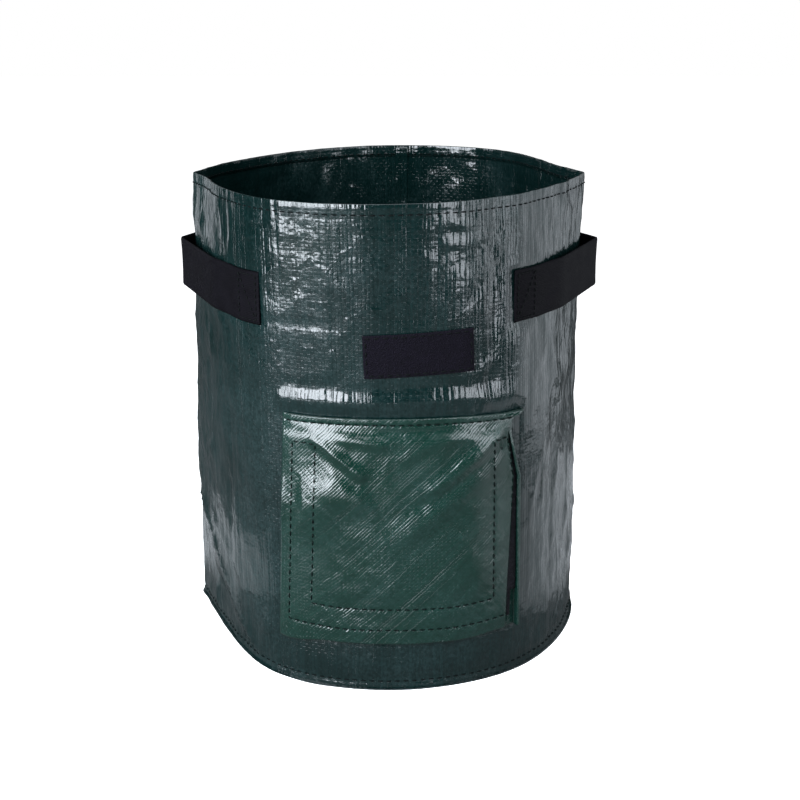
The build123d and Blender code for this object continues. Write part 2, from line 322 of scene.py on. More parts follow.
def smooth_front_point(x, height, lift):
    """A point in front of the uncreased outline, found by its x."""
    turn = np.arcsin(x / MEAN_RADIUS)
    for _ in range(5):
        turn = np.arcsin(np.clip(x / (outline_radius(turn, height) + lift), -0.99, 0.99))
    return at(outline_radius(turn, height) + lift, turn, height)


# ---- meshes
def shade_smooth(mesh):
    for polygon in mesh.polygons:
        polygon.use_smooth = True


def add_object(name, mesh, material=None):
    if material:
        mesh.materials.append(material)
    piece = bpy.data.objects.new(name, mesh)
    bpy.context.scene.collection.objects.link(piece)
    shade_smooth(mesh)
    return piece


def edit_mesh(mesh, work):
    """Does some work on a mesh in edit form."""
    form = bmesh.new()
    form.from_mesh(mesh)
    work(form)
    form.to_mesh(mesh)
    form.free()
    return mesh


def grid_mesh(name, points, cloth_u, cloth_v, closed=False, keep=None):
    """A sheet from a grid of points, with the flat cloth's own coordinates, in metres, as its UVs."""
    rows, columns = points.shape[:2]
    span = columns if closed else columns - 1
    u, v = (np.broadcast_to(flat, (rows, columns)) for flat in (cloth_u, cloth_v))

    def round_each_face(values, next_values):
        near, far = values[:, :span], next_values[:, :span]
        return np.stack([near[:-1], far[:-1], far[1:], near[1:]], axis=-1)

    index = np.arange(rows * columns).reshape(rows, columns)
    next_u = np.roll(u, -1, axis=1)
    next_u[:, -1] = u[:, -1] + (u[0, 1] - u[0, 0])
    corners = round_each_face(index, np.roll(index, -1, axis=1))
    uv = np.stack([round_each_face(u, next_u), round_each_face(v, np.roll(v, -1, axis=1))], axis=-1)
    chosen = np.ones(corners.shape[:2], bool) if keep is None else keep[:, :span]
    used, faces = np.unique(corners[chosen], return_inverse=True)
    mesh = bpy.data.meshes.new(name)
    mesh.from_pydata(points.reshape(-1, 3)[used].tolist(), [], faces.reshape(-1, 4).tolist())
    layer = mesh.uv_layers.new(name="cloth")
    layer.data.foreach_set("uv", uv[chosen].reshape(-1).astype(np.float32))
    mesh.update()
    return mesh


def thicken(piece, thickness, inwards=True):
    """Gives a sheet its thickness, with clean rims, and applies it."""
    modifier = piece.modifiers.new("thickness", "SOLIDIFY")
    modifier.thickness = thickness
    modifier.offset = -1 if inwards else 1
    modifier.use_even_offset = False
    return apply_modifiers(piece)


def lay_sheet(name, points, cloth_u, cloth_v, material, thickness, inwards=True, **mesh_options):
    """A sheet of cloth with its thickness."""
    mesh = grid_mesh(name, points, cloth_u, cloth_v, **mesh_options)
    return thicken(add_object(name, mesh, material), thickness, inwards)


def apply_modifiers(piece):
    bpy.context.view_layer.update()
    evaluated = piece.evaluated_get(bpy.context.evaluated_depsgraph_get())
    mesh = bpy.data.meshes.new_from_object(evaluated)
    piece.modifiers.clear()
    piece.data = mesh
    shade_smooth(mesh)
    return piece


def sew(name, points, normals, closed=False, pitch=STITCH_PITCH, length=STITCH_LENGTH):
    """One row of separate stitches along a line of surface points."""
    line = np.hstack([points, normals])
    if closed:
        line = np.vstack([line, line[:1]])
    travelled = lengths_along(line[:, :3])
    count = max(1, int(round(travelled[-1] / pitch)))
    real_pitch = travelled[-1] / count

    rings, sides = 7, 6
    share = np.linspace(-0.5, 0.5, rings)
    rise = THREAD_RADIUS * (1.5 * np.cos(math.pi * share) - 0.6)
    thickness = THREAD_RADIUS * (0.45 + 0.55 * np.cos(math.pi * share) ** 0.5)
    around = np.arange(sides) * 2 * math.pi / sides
    pattern = []
    for i in range(rings - 1):
        for j in range(sides):
            a, b = i * sides + j, i * sides + (j + 1) % sides
            pattern.append((a, b, b + sides, a + sides))
    pattern.append(tuple(reversed(range(sides))))
    pattern.append(tuple(range((rings - 1) * sides, rings * sides)))

    vertices, faces = [], []
    for k in range(count):
        distance = (k + 0.5) * real_pitch + share * min(length, 0.78 * real_pitch)
        spine, up = np.hsplit(read_along(line, travelled, distance), 2)
        up = unit(up)
        across = np.cross(up, unit(np.gradient(spine, axis=0)))[:, None]
        section = across * np.cos(around)[None, :, None] + up[:, None] * np.sin(around)[None, :, None]
        ring = (spine + up * rise[:, None])[:, None] + section * thickness[:, None, None]
        faces.extend(tuple(len(vertices) + corner for corner in face) for face in pattern)
        vertices.extend(ring.reshape(-1, 3).tolist())
    mesh = bpy.data.meshes.new(name)
    mesh.from_pydata(vertices, [], faces)
    mesh.update()
    return add_object(name, mesh, THREAD)


def surface_normals(points_at, u, v, step=0.8 * MM):
    """The outward normals of a surface given by a function of two coordinates."""
    du = points_at(u + step, v) - points_at(u - step, v)
    dv = points_at(u, v + step) - points_at(u, v - step)
    return unit(np.cross(du, dv))


# ---- shader groups
class Nodes:
    """Adds shader nodes to a tree and links them in one call."""

    def __init__(self, tree):
        self.tree = tree

    def put(self, value, socket):
        """Links a socket to another, or gives it a constant."""
        if isinstance(value, bpy.types.NodeSocket):
            self.tree.links.new(value, socket)
        else:
            socket.default_value = value

    def add(self, kind, inputs=None, **settings):
        node = self.tree.nodes.new("ShaderNode" + kind)
        for key, value in settings.items():
            setattr(node, key, value)
        for key, value in (inputs or {}).items():
            self.put(value, node.inputs[key])
        return node

    def give(self, **results):
        """Makes a group's named outputs, each a height or a mask."""
        for title in results:
            self.tree.interface.new_socket(title, in_out="OUTPUT", socket_type="NodeSocketFloat")
        end = self.tree.nodes.new("NodeGroupOutput")
        for title, value in results.items():
            self.put(value, end.inputs[title])

    def math(self, operation, *values, clamp=False):
        inputs = dict(enumerate(values))
        return self.add("Math", inputs, operation=operation, use_clamp=clamp).outputs[0]

    def plus(self, first, second):
        return self.math("ADD", first, second)

    def minus(self, first, second, clamp=False):
        return self.math("SUBTRACT", first, second, clamp=clamp)

    def times(self, first, second):
        return self.math("MULTIPLY", first, second)

    def times_plus(self, first, factor, more, clamp=False):
        return self.math("MULTIPLY_ADD", first, factor, more, clamp=clamp)

    def vector(self, operation, inputs):
        return self.add("VectorMath", inputs, operation=operation).outputs[0]

    def mix(self, factor, first, second):
        return self.add("Mix", {"Factor": factor, 6: first, 7: second}, data_type="RGBA").outputs[2]

    def noise(self, vector, scale, detail=2.0, roughness=0.5, output="Fac"):
        inputs = {"Vector": vector, "Scale": scale, "Detail": detail, "Roughness": roughness}
        return self.add("TexNoise", inputs).outputs[output]

    def random(self, value):
        return self.add("TexWhiteNoise", {"W": value}, noise_dimensions="1D").outputs["Value"]

    def cloth_place(self):
        """The flat cloth's own coordinates."""
        return self.add("UVMap", uv_map="cloth").outputs[0]

    def body_place(self):
        return self.add("TexCoord").outputs["Object"]


def new_group(name, numbers):
    """A shader node group that takes a place and some named numbers."""
    group = bpy.data.node_groups.new(name, "ShaderNodeTree")
    group.interface.new_socket("Vector", in_out="INPUT", socket_type="NodeSocketVector")
    for title, default in numbers.items():
        socket = group.interface.new_socket(title, in_out="INPUT", socket_type="NodeSocketFloat")
        socket.default_value = default
    return group, Nodes(group), group.nodes.new("NodeGroupInput").outputs


def woven_tapes_group():
    """Plain weave of flat tapes, each of which leans a little and is made of fine strands."""
    numbers = {"Pitch": 2.5 * MM, "Turn": 0.0, "Strand": 3.0, "Lean": 7.0}
    group, n, given = new_group("woven tapes", numbers)
    turning = {"Vector": given["Vector"], "Angle": given["Turn"]}
    turned = n.add("VectorRotate", turning, rotation_type="Z_AXIS").outputs[0]
    shift = n.vector("SUBTRACT", {0: n.noise(turned, 60.0, 1.0, output="Color"), 1: (0.5, 0.5, 0.5)})
    moved = n.vector("ADD", {0: turned, 1: n.vector("SCALE", {0: shift, "Scale": 0.0018})})
    parts = n.add("SeparateXYZ", {0: moved}).outputs
    x, y = (n.math("DIVIDE", parts[k], given["Pitch"]) for k in (0, 1))
    column, row = n.math("FLOOR", x), n.math("FLOOR", y)
    across_x, across_y = n.math("FRACT", x), n.math("FRACT", y)

    def hump(share):
        return n.minus(1.0, n.math("POWER", n.math("ABSOLUTE", n.times_plus(share, 2.0, -1.0)), 3.0))

    warp, weft = hump(across_x), hump(across_y)
    parity = n.math("ABSOLUTE", n.math("MODULO", n.plus(column, row), 2.0))
    over = n.math("GREATER_THAN", parity, 0.5)
    top_warp = n.times(warp, n.times_plus(weft, 0.2, 0.8))
    top_weft = n.times(n.times_plus(weft, 0.45, 0.55), warp)
    first = n.times(top_warp, over)
    second = n.times(n.times(top_weft, n.minus(1.0, over)), 0.9)
    lean = n.times(n.minus(n.random(column), 0.5), n.minus(across_x, 0.5))
    lean = n.times(lean, given["Lean"])
    strand = n.noise(n.vector("MULTIPLY", {0: moved, 1: (1.0, 0.035, 1.0)}), 620.0, 2.0, 0.55)
    streak = n.times(n.random(n.plus(row, 51.3)), 0.35)
    n.give(
        Height=n.plus(n.plus(first, second), n.times_plus(strand, given["Strand"], lean)),
        Gap=n.minus(1.0, n.times(n.math("MAXIMUM", first, second), 1.6), clamp=True),
        Streak=n.times_plus(n.random(n.plus(column, 7.7)), 0.65, streak),
    )
    return group


def crinkled_film_group():
    """The thin film over the weave: small creases and dull scuffs."""
    group, n, given = new_group("crinkled film", {"Size": 1.0})
    place = n.vector("SCALE", {0: given["Vector"], "Scale": given["Size"]})
    bent = n.vector("SCALE", {0: n.noise(place, 90.0, output="Color"), "Scale": 0.012})
    cell_inputs = {"Vector": n.vector("ADD", {0: place, 1: bent}), "Scale": 42.0}
    cells = n.add("TexVoronoi", cell_inputs, feature="DISTANCE_TO_EDGE").outputs["Distance"]
    crease = n.times(n.minus(1.0, n.times(cells, 3.2), clamp=True), n.noise(place, 30.0))
    scuff = n.times(n.noise(place, 14.0, 5.0, 0.65), n.noise(place, 420.0, 2.0, 0.7))
    n.give(
        Height=n.times_plus(n.noise(place, 300.0, 1.0, 0.4), 0.35, crease),
        Scuff=n.times_plus(scuff, 5.0, -1.0, clamp=True),
    )
    return group


def ribbed_webbing_group():
    """Webbing's fine herringbone ribs and its fuzz."""
    group, n, given = new_group("ribbed webbing", {"Pitch": 1.25 * MM})
    parts = n.add("SeparateXYZ", {0: given["Vector"]}).outputs
    along, across = (n.math("DIVIDE", parts[k], given["Pitch"]) for k in (0, 1))
    zigzag = n.math("PINGPONG", n.times(across, 0.5), 2.0)
    rib = n.math("SINE", n.times(n.plus(along, zigzag), 2 * math.pi))
    cord = n.math("SINE", n.times(across, 2 * math.pi))
    height = n.times_plus(rib, 0.5, n.times(cord, 0.45))
    n.give(
        Height=n.times_plus(n.noise(given["Vector"], 2600.0, 2.0, 0.6), 0.5, height),
        Shade=n.times_plus(height, 0.25, n.times(n.noise(given["Vector"], 70.0), 0.9)),
    )
    return group


def pile_group():
    """Brushed loops or stiff hooks: a close field of small rounded tips."""
    group, n, given = new_group("tape pile", {"Tips per metre": 900.0})
    place = given["Vector"]
    tips = n.add("TexVoronoi", {"Vector": place, "Scale": given["Tips per metre"]}).outputs
    tip = n.minus(1.0, n.times(tips["Distance"], 1.5), clamp=True)
    n.give(
        Height=n.times_plus(n.noise(place, 1500.0, 3.0, 0.7), 0.8, tip),
        Shade=n.times_plus(tip, 0.5, n.times(n.noise(place, 120.0, 3.0, 0.6), 0.7)),
    )
    return group


WOVEN_TAPES = woven_tapes_group()
CRINKLED_FILM = crinkled_film_group()
RIBBED_WEBBING = ribbed_webbing_group()
TAPE_PILE = pile_group()


# ---- materials
def new_material(name, colour, **constants):
    """A material with one Principled shader, its constants set on the shader's own sockets."""
    material = bpy.data.materials.new(name)
    material.use_nodes = True
    nodes = Nodes(material.node_tree)
    shader = material.node_tree.nodes["Principled BSDF"]
    shader.inputs["Base Color"].default_value = (*colour, 1)
    for key, value in constants.items():
        shader.inputs[key.replace("_", " ")].default_value = value
    return material, nodes, shader


def finish_material(n, shader, colour, rough, height, strength=1.0):
    """Links what changes over a surface: colour, roughness unless that is constant, and bump."""
    n.put(colour, shader.inputs["Base Color"])
    if rough is not None:
        n.put(rough, shader.inputs["Roughness"])
    bump = n.add("Bump", {"Strength": strength, "Distance": 1.0, "Height": height})
    n.put(bump.outputs[0], shader.inputs["Normal"])


def laminated_cloth(name, dark, light, depth, weave_numbers):
    """Woven plastic tapes under a glossy film: streaks of tape, dark gaps, scuffs and small creases."""
    material, n, shader = new_material(name, dark, Specular_IOR_Level=0.5, IOR=1.5)
    body = n.body_place()
    weave = n.add("Group", {"Vector": n.cloth_place(), **weave_numbers}, node_tree=WOVEN_TAPES).outputs
    film = n.add("Group", {"Vector": body}, node_tree=CRINKLED_FILM).outputs

    tone = n.minus(n.times_plus(weave["Streak"], 0.55, n.noise(body, 9.0, 3.0)), 0.35, clamp=True)
    colour = n.mix(tone, (*dark, 1), (*light, 1))
    black = tuple(0.35 * c for c in dark)
    colour = n.mix(n.times(weave["Gap"], 0.35), colour, (*black, 1))
    dusty = tuple(0.5 * c + grey for c, grey in zip(light, (0.022, 0.042, 0.043)))
    colour = n.mix(n.times(film["Scuff"], 0.18), colour, (*dusty, 1))
    rough = n.times_plus(weave["Streak"], 0.06, n.times_plus(film["Scuff"], 0.12, 0.07))
    height = n.times_plus(film["Height"], 0.5 * MM, n.times(weave["Height"], depth))
    finish_material(n, shader, colour, rough, height)
    return material


def fibrous_cloth(name, dark, light, group, numbers, depth, roughness, **constants):
    """Webbing or tape: a dull surface whose relief and shade come from a group."""
    material, n, shader = new_material(name, dark, **constants)
    fibres = n.add("Group", {"Vector": n.cloth_place(), **numbers}, node_tree=group).outputs
    colour = n.mix(fibres["Shade"], (*dark, 1), (*light, 1))
    rough = n.times_plus(fibres["Shade"], 0.2, roughness)
    finish_material(n, shader, colour, rough, n.times(fibres["Height"], depth))
    return material


def tape_cloth(name, dark, light, tips, depth):
    """Hook tape or loop tape: a field of tips over a dull ground."""
    numbers = {"Tips per metre": tips}
    constants = {"Sheen_Weight": 0.01, "Sheen_Roughness": 0.5, "Specular_IOR_Level": 0.05}
    return fibrous_cloth(name, dark, light, TAPE_PILE, numbers, depth, 0.65, **constants)


def twisted_thread():
    """Black polyester thread with its twist."""
    dark, light = (0.0004, 0.0007, 0.0007), (0.002, 0.003, 0.003)
    material, n, shader = new_material("sewing thread", dark, Roughness=0.7, Specular_IOR_Level=0.06)
    twist_inputs = {"Vector": n.body_place(), "Scale": 700.0, "Distortion": 2.0}
    twist = n.add("TexWave", twist_inputs, bands_direction="DIAGONAL").outputs["Fac"]
    colour = n.mix(twist, (*dark, 1), (*light, 1))
    finish_material(n, shader, colour, None, n.times(twist, 0.08 * MM), strength=0.8)
    return material


WALL_CLOTH = laminated_cloth(
    "wall cloth",
    (0.0006, 0.0042, 0.0039),
    (0.0018, 0.0085, 0.0083),
    0.06 * MM,
    {"Turn": 0.0, "Pitch": 2.5 * MM, "Strand": 3.4, "Lean": 7.0},
)
FLAP_CLOTH = laminated_cloth(
    "flap cloth",
    (0.0010, 0.0090, 0.0062),
    (0.0034, 0.0175, 0.0128),
    0.1 * MM,
    {"Turn": math.radians(45), "Pitch": 1.8 * MM, "Strand": 0.8, "Lean": 1.2},
)
WEBBING_CLOTH = fibrous_cloth(
    "webbing",
    (0.0009, 0.0008, 0.0012),
    (0.0036, 0.0033, 0.0047),
    RIBBED_WEBBING,
    {},
    0.11 * MM,
    0.5,
    Specular_IOR_Level=0.03,
)
LOOP_TAPE = tape_cloth("loop tape", (0.0008, 0.0006, 0.0015), (0.0032, 0.0024, 0.0055), 850.0, 0.5 * MM)
HOOK_TAPE = tape_cloth("hook tape", (0.0015, 0.0015, 0.002), (0.008, 0.008, 0.01), 620.0, 0.6 * MM)
THREAD = twisted_thread()


# ---- wall and base
WALL_COLUMNS = 440
HEM_GAP = 0.2 * MM  # between the wall and the layer folded in behind it


def wall_turns():
    """Column positions all round, with one on each upright edge of the harvest window."""
    turns = np.linspace(-math.pi, math.pi, WALL_COLUMNS, endpoint=False)
    for x in (WINDOW_LEFT, WINDOW_RIGHT):
        edge = math.asin(x / outline_radius(math.asin(x / MEAN_RADIUS), 0.12))
        turns[np.argmin(np.abs(turns - edge))] = edge
    return turns


def wall_rows():
    """Each row of the wall's cloth, as (height, how far in), from the floor to the hem's edge."""
    rows = []
    for height in np.linspace(0.1 * MM, RIM - HEM_GAP, 104):
        for window_edge in (WINDOW_BOTTOM, WINDOW_TOP):
            if abs(height - window_edge) < 1.7 * MM:
                height = window_edge
        rows.append((height, 0.0))
    for angle in np.radians((45, 90, 135)):
        reach = CLOTH + HEM_GAP / 2
        rows.append((RIM - HEM_GAP + 0.5 * MM * math.sin(angle), reach * (1 - math.cos(angle))))
    for height in np.linspace(RIM - HEM_GAP, RIM - HEM_DEPTH, 5):
        rows.append((height, 2 * CLOTH + HEM_GAP))
    return np.array(rows)


def make_wall():
    """The wall: one cloth from the base seam up, folded inwards at the rim, with the window cut out."""
    turns, rows = wall_turns(), wall_rows()
    height, inwards = rows[:, :1], rows[:, 1:]
    flare = 1.6 * MM * (1 - fade(height, 0.5 * MM, 5 * MM))
    points = at(wall_radius(turns[None, :], height) - inwards + flare, turns[None, :], height)
    length = lengths_along(rows)
    middle_turn = turns + math.pi / WALL_COLUMNS
    middle_height = (rows[:-1, 0] + rows[1:, 0]) / 2
    x = MEAN_RADIUS * np.sin(middle_turn)
    in_columns = (np.abs(middle_turn) < 1) & (x > WINDOW_LEFT) & (x < WINDOW_RIGHT)
    in_rows = (middle_height > WINDOW_BOTTOM) & (middle_height < WINDOW_TOP) & (rows[:-1, 1] == 0)
    keep = ~(in_rows[:, None] & in_columns[None, :])
    cloth = (MEAN_RADIUS * turns, length[:, None], WALL_CLOTH, CLOTH)
    wall = lay_sheet("bag_wall", points, *cloth, closed=True, keep=keep)
    hole = (WINDOW_RIGHT - WINDOW_LEFT) * (WINDOW_TOP - WINDOW_BOTTOM)
    return wall, (2 * math.pi * MEAN_RADIUS, float(length[-1])), hole


def make_base():
    """The round base, with its drain holes and a seam lip that stands out unevenly."""
    share = np.concatenate([np.linspace(0.04, 0.965, 34), np.linspace(0.98, 1.0, 3)])[:, None]
    turn = np.linspace(-math.pi, math.pi, 288, endpoint=False)[None, :]
    edge = outline_radius(turn, 0.0) + 1.5 * MM
    sides = np.abs(np.sin(turn)) ** 3
    lip = (0.9 + 0.2 * sides + 0.4 * lattice_noise(turn, 0 * turn, 0.12, 1.0, 5)) * MM
    radius = edge * share + lip * fade(share, 0.96, 1.0)
    height = CLOTH + 0.3 * MM * (1 - fade(share, 0.7, 0.95)) + 0.0 * turn
    height = height + 0.5 * MM * fade(share, 0.97, 1.0) * sides
    points = at(radius, turn, height)
    mesh = grid_mesh("bag_base", points, points[..., 0], points[..., 1], closed=True)

    def fill_middle(form):
        rim = [e for e in form.edges if e.is_boundary and e.verts[0].co.xy.length < 0.02]
        bmesh.ops.contextual_create(form, geom=rim)
        form.normal_update()

    base = add_object("bag_base", edit_mesh(mesh, fill_middle), WALL_CLOTH)
    base = thicken(base, CLOTH, inwards=False)
    drill_drain_holes(base)
    return base


def drill_drain_holes(base):
    """Cuts the ring of punched holes."""
    ring_radius, count = 90 * MM, 8
    pin_shape = {"segments": 20, "radius1": 3 * MM, "radius2": 3 * MM, "depth": 10 * MM}

    def make_pins(form):
        for k in range(count):
            a = 2 * math.pi * k / count
            pin = bmesh.ops.create_cone(form, cap_ends=True, **pin_shape)
            place = (ring_radius * math.cos(a), ring_radius * math.sin(a), 0)
            bmesh.ops.translate(form, verts=pin["verts"], vec=place)

    def clean_rims(form):
        bmesh.ops.remove_doubles(form, verts=form.verts, dist=0.01 * MM)
        bmesh.ops.dissolve_degenerate(form, edges=form.edges, dist=0.01 * MM)

    cutter = add_object("cutter", edit_mesh(bpy.data.meshes.new("cutter"), make_pins))
    modifier = base.modifiers.new("holes", "BOOLEAN")
    modifier.operation = "DIFFERENCE"
    modifier.object = cutter
    apply_modifiers(base)
    bpy.data.objects.remove(cutter)
    edit_mesh(base.data, clean_rims)


def make_back_seam():
    """The seam allowance inside the back: a narrow strip, lumpy where the rim hem crosses it."""
    side = np.linspace(-1, 1, 13)[None, :]
    height = np.linspace(8 * MM, RIM - 1.0 * MM, 150)[:, None]
    lean = 3 * MM * (RIM - height) / RIM
    turn = BACK_SEAM_TURN + (side * BACK_SEAM_HALF + lean) / MEAN_RADIUS
    lump = 0.9 * MM * fade(height, RIM - 12 * MM, RIM - 8 * MM)
    crown = 0.5 * MM * (1 - side**4)
    wave = 0.35 * MM * lattice_noise(side * 4 * MM, height, 4 * MM, 9 * MM, 77)
    inwards = CLOTH + 0.25 * MM + crown + lump + wave * (1 - side**2)
    points = at(wall_radius(turn, height) - inwards, turn, height)
    u = side * BACK_SEAM_HALF
    return lay_sheet("back_seam_allowance", points, u, height, WALL_CLOTH, CLOTH, inwards=False)


def sew_round(name, height, lift, inner=False):
    """A closed row of stitches round the wall."""
    turns = np.linspace(-math.pi, math.pi, 720, endpoint=False)
    points = wall_point(turns, np.full_like(turns, height), lift)
    normals = at(1.0, turns, 0.0) * (-1 if inner else 1)
    return sew(name, points, normals, closed=True)


def sew_upright(name, turn, low, high):
    """An upright row of stitches on the wall's outer face."""
    height = np.linspace(low, high, 200)
    turn = np.full_like(height, turn)
    return sew(name, wall_point(turn, height), at(1.0, turn, 0 * height))


# ---- access flap
# Folds in the flap, in millimetres: x, and up from the floor.
FLAP_FOLDS = (
    (soft_fold, (92, 200), (30, 154), 5.5, 2.2),
    (soft_fold, (76, 180), (22, 140), 6, -1.0),
    (soft_fold, (62, 166), (14, 122), 9, 1.7),
    (soft_fold, (60, 200), (10, 176), 5, 0.9),
    (sharp_fold, (70, 188), (44, 170), 3, 0.9),
    (soft_fold, (-54, 188), (-20, 164), 4.5, 1.9),
    (soft_fold, (-50, 180), (-26, 156), 4, -0.8),
    (soft_fold, (-42, 152), (-24, 146), 10, 2.0),
    (soft_fold, (-70, 199), (-6, 186), 4, 1.4),
    (soft_fold, (-40, 168), (-14, 140), 5, 0.9),
    (sharp_fold, (-52, 186), (-30, 172), 2.5, 0.8),
    (soft_fold, (-76, 136), (-52, 139), 20, 4.8),
    (soft_fold, (-20, 120), (30, 60), 14, 0.8),
    (soft_fold, (30, 126), (60, 90), 10, 0.7),
    (soft_fold, (10, 192), (14, 110), 22, -0.7),
)
OUTER_LEFT, OUTER_RIGHT = OUTER_ROW_LOW.x, OUTER_ROW_HIGH.x
INNER_LEFT, INNER_RIGHT = INNER_ROW_LOW.x, INNER_ROW_HIGH.x
OUTER_BOTTOM, INNER_BOTTOM = OUTER_ROW_LOW.z, INNER_ROW_LOW.z
OUTER_ROW = (OUTER_LEFT, OUTER_RIGHT, OUTER_BOTTOM)
INNER_ROW = (INNER_LEFT, INNER_RIGHT, INNER_BOTTOM)


def row_distance(x, height, left, right, bottom):
    """How far a place on the flap is from a U-shaped row of stitches."""
    below_top = np.minimum(height, ROW_TOP)
    to_left = np.hypot(x - left, height - below_top)
    to_right = np.hypot(x - right, height - below_top)
    low = np.clip(x, left, right)
    to_bottom = np.hypot(x - low, height - bottom)
    above = height >= bottom
    upright = np.where(above, np.minimum(to_left, to_right), np.inf)
    return np.minimum(upright, to_bottom)


def flap_place(x, height):
    """Where the cut cloth's (x, height) really is on the bag: the flap hangs a little crooked."""
    level = height / MM
    left = np.interp(level, (38, 203), (-2, 5))
    inner = np.interp(level, (38, 185), (8, 6))
    outer = np.interp(level, (38, 155, 187, 197), (2, 4, -1, -3))
    edge = np.interp(level, (38, 155, 165, 187, 197, 200, 203.5), (4.8, 2.5, 0, -5, -4.5, -1, 3.7))
    x, level = np.broadcast_arrays(x / MM, level)
    shift = left * (1 - fade(x, INNER_LEFT / MM, 0)) + 2 * fade(x, INNER_LEFT / MM, 0)
    shift += (inner - 2) * fade(x, 0, INNER_RIGHT / MM)
    shift += (outer - inner) * fade(x, INNER_RIGHT / MM, OUTER_RIGHT / MM)
    shift += (edge - outer) * fade(x, OUTER_RIGHT / MM, FLAP_RIGHT / MM)
    sag = -2 * band(x, -25, 35, 45) * (1 - fade(level, 60, 120))
    sag -= 5 * fade(-x, 40, 70) * (1 - fade(level, 38, 46))
    sag -= 2 * fade(x, 30, 90) * fade(level, 188, 203)
    return (x + shift) * MM, (level + sag) * MM


def flap_lift(x, height):
    """How far the flap's outer face stands off the smooth outline."""
    seam = fade(height, 187 * MM, 195 * MM)
    lift = (FLAP_FACE + 0 * x) * (1 - seam) + seam * 1.5 * MM
    above_seam = fade(height, FLAP_STITCH_HEIGHT, FLAP_STITCH_HEIGHT + 1.5 * MM)
    lift += above_seam * (0.2 * MM + 0.15 * MM * np.sin(2 * math.pi * x / (9 * MM)))
    seam_dent = np.exp(-(((height - FLAP_STITCH_HEIGHT) / (1.1 * MM)) ** 2))
    lift -= 0.6 * MM * seam_dent * (0.75 + 0.25 * np.cos(2 * math.pi * x / STITCH_PITCH))

    # The hem's end and the right edge stand away; the left and lower edges lie closer.
    right = fade(x, OUTER_RIGHT - 1 * MM, FLAP_RIGHT)
    lift += right * (2.4 * MM * band(height, 40 * MM, 176 * MM, 14 * MM) + 1.8 * MM * above_seam)
    left = 1 - fade(x, FLAP_LEFT, OUTER_LEFT)
    lift -= left * 1.0 * MM
    lower = 1 - fade(height, FLAP_BOTTOM, OUTER_BOTTOM)
    lift -= lower * 0.8 * MM * (1 - right)
    lift += lower * 0.9 * MM * fade(-x, 20 * MM, 60 * MM)

    puff = fade(height, INNER_BOTTOM, INNER_BOTTOM + 14 * MM) * (1 - seam)
    middle = band(x, INNER_LEFT + 14 * MM, INNER_RIGHT - 14 * MM, 14 * MM)
    lift += middle * puff * 0.6 * MM
    keep_still = 1 - 0.8 * fade(height, 193 * MM, 198 * MM)
    free = np.clip(row_distance(x, height, *OUTER_ROW) / (8 * MM), 0.4, 1)
    lift += folds(x, height, FLAP_FOLDS) * keep_still * free
    lift += 0.5 * MM * crumple(x, height, 22 * MM, 3) * middle * keep_still
    lift += 0.35 * MM * lattice_noise(x, height, 20 * MM, 26 * MM, 8) * keep_still
    lift += 0.08 * MM * lattice_noise(x + height, x - height, 11 * MM, 5 * MM, 18) * keep_still

    for stitched in (OUTER_ROW, INNER_ROW):
        distance = row_distance(x, height, *stitched)
        ripple = np.cos(2 * math.pi * (x + height) / STITCH_PITCH)
        lift -= 0.4 * MM * np.exp(-((distance / (1.2 * MM)) ** 2)) * (0.75 + 0.25 * ripple)
        lift += 0.14 * MM * ripple * np.exp(-distance / (4 * MM))

    # Past the right-hand row the cloth tucks under the tape's edge before it turns out again. The black
    # hook tape left showing in that groove is a dark sheet that stands in as painted shade for the
    # groove's shadow.
    reach = (1.3 + 1.3 * (1 - fade(height, 50 * MM, 180 * MM))) * MM
    from_tuck = np.abs(x - OUTER_RIGHT - 2.2 * MM)
    tuck = (1 - fade(from_tuck, 0.6 * reach, 1.4 * reach)) * band(height, 30 * MM, 184 * MM, 6 * MM)
    return lift * (1 - tuck) + tuck * 1.0 * MM


def flap_point(x, height, lift=0.0):
    """A point on the flap's outer face, or lifted off it."""
    return smooth_front_point(*flap_place(x, height), flap_lift(x, height) + lift)


def make_flap():
    """The flap and its sewn top hem, one cloth from the lower edge to the hem's edge."""
    x = np.append(np.linspace(FLAP_LEFT, 82 * MM, 150), np.linspace(82.5 * MM, FLAP_RIGHT, 24))
    height = np.append(np.linspace(FLAP_BOTTOM, 196 * MM, 140), np.linspace(197 * MM, FLAP_TOP, 12))
    height = height[:, None]
    edge = 0.5 * MM * lattice_noise(x, 0 * height, 14 * MM, 1.0, 6)
    edge *= 1 - fade(height, 38 * MM, 46 * MM)
    return lay_sheet("access_flap", flap_point(x, height + edge), x, height, FLAP_CLOTH, CLOTH)


def make_hem_fold():
    """The flap's top edge turned under: a rounded second layer that shows above the seam."""
    x = np.linspace(FLAP_LEFT, FLAP_RIGHT, 120)[None, :]
    share = np.linspace(0, 1, 9)[:, None]
    rise = 0.4 * MM * np.sin(math.pi * share) - 3 * MM * fade(share, 0.5, 1.0)
    under = fade(share, 0.0, 0.6)
    lift = (flap_lift(x, np.full_like(x, FLAP_TOP)) - 0.1 * MM) * (1 - under) + 0.5 * MM * under
    placed_x, placed_z = flap_place(x, np.full_like(x, FLAP_TOP))
    points = smooth_front_point(placed_x + 0 * share, placed_z + rise, lift)
    return lay_sheet("flap_hem_fold", points, x, FLAP_TOP + share * 6 * MM, FLAP_CLOTH, 0.3 * MM)


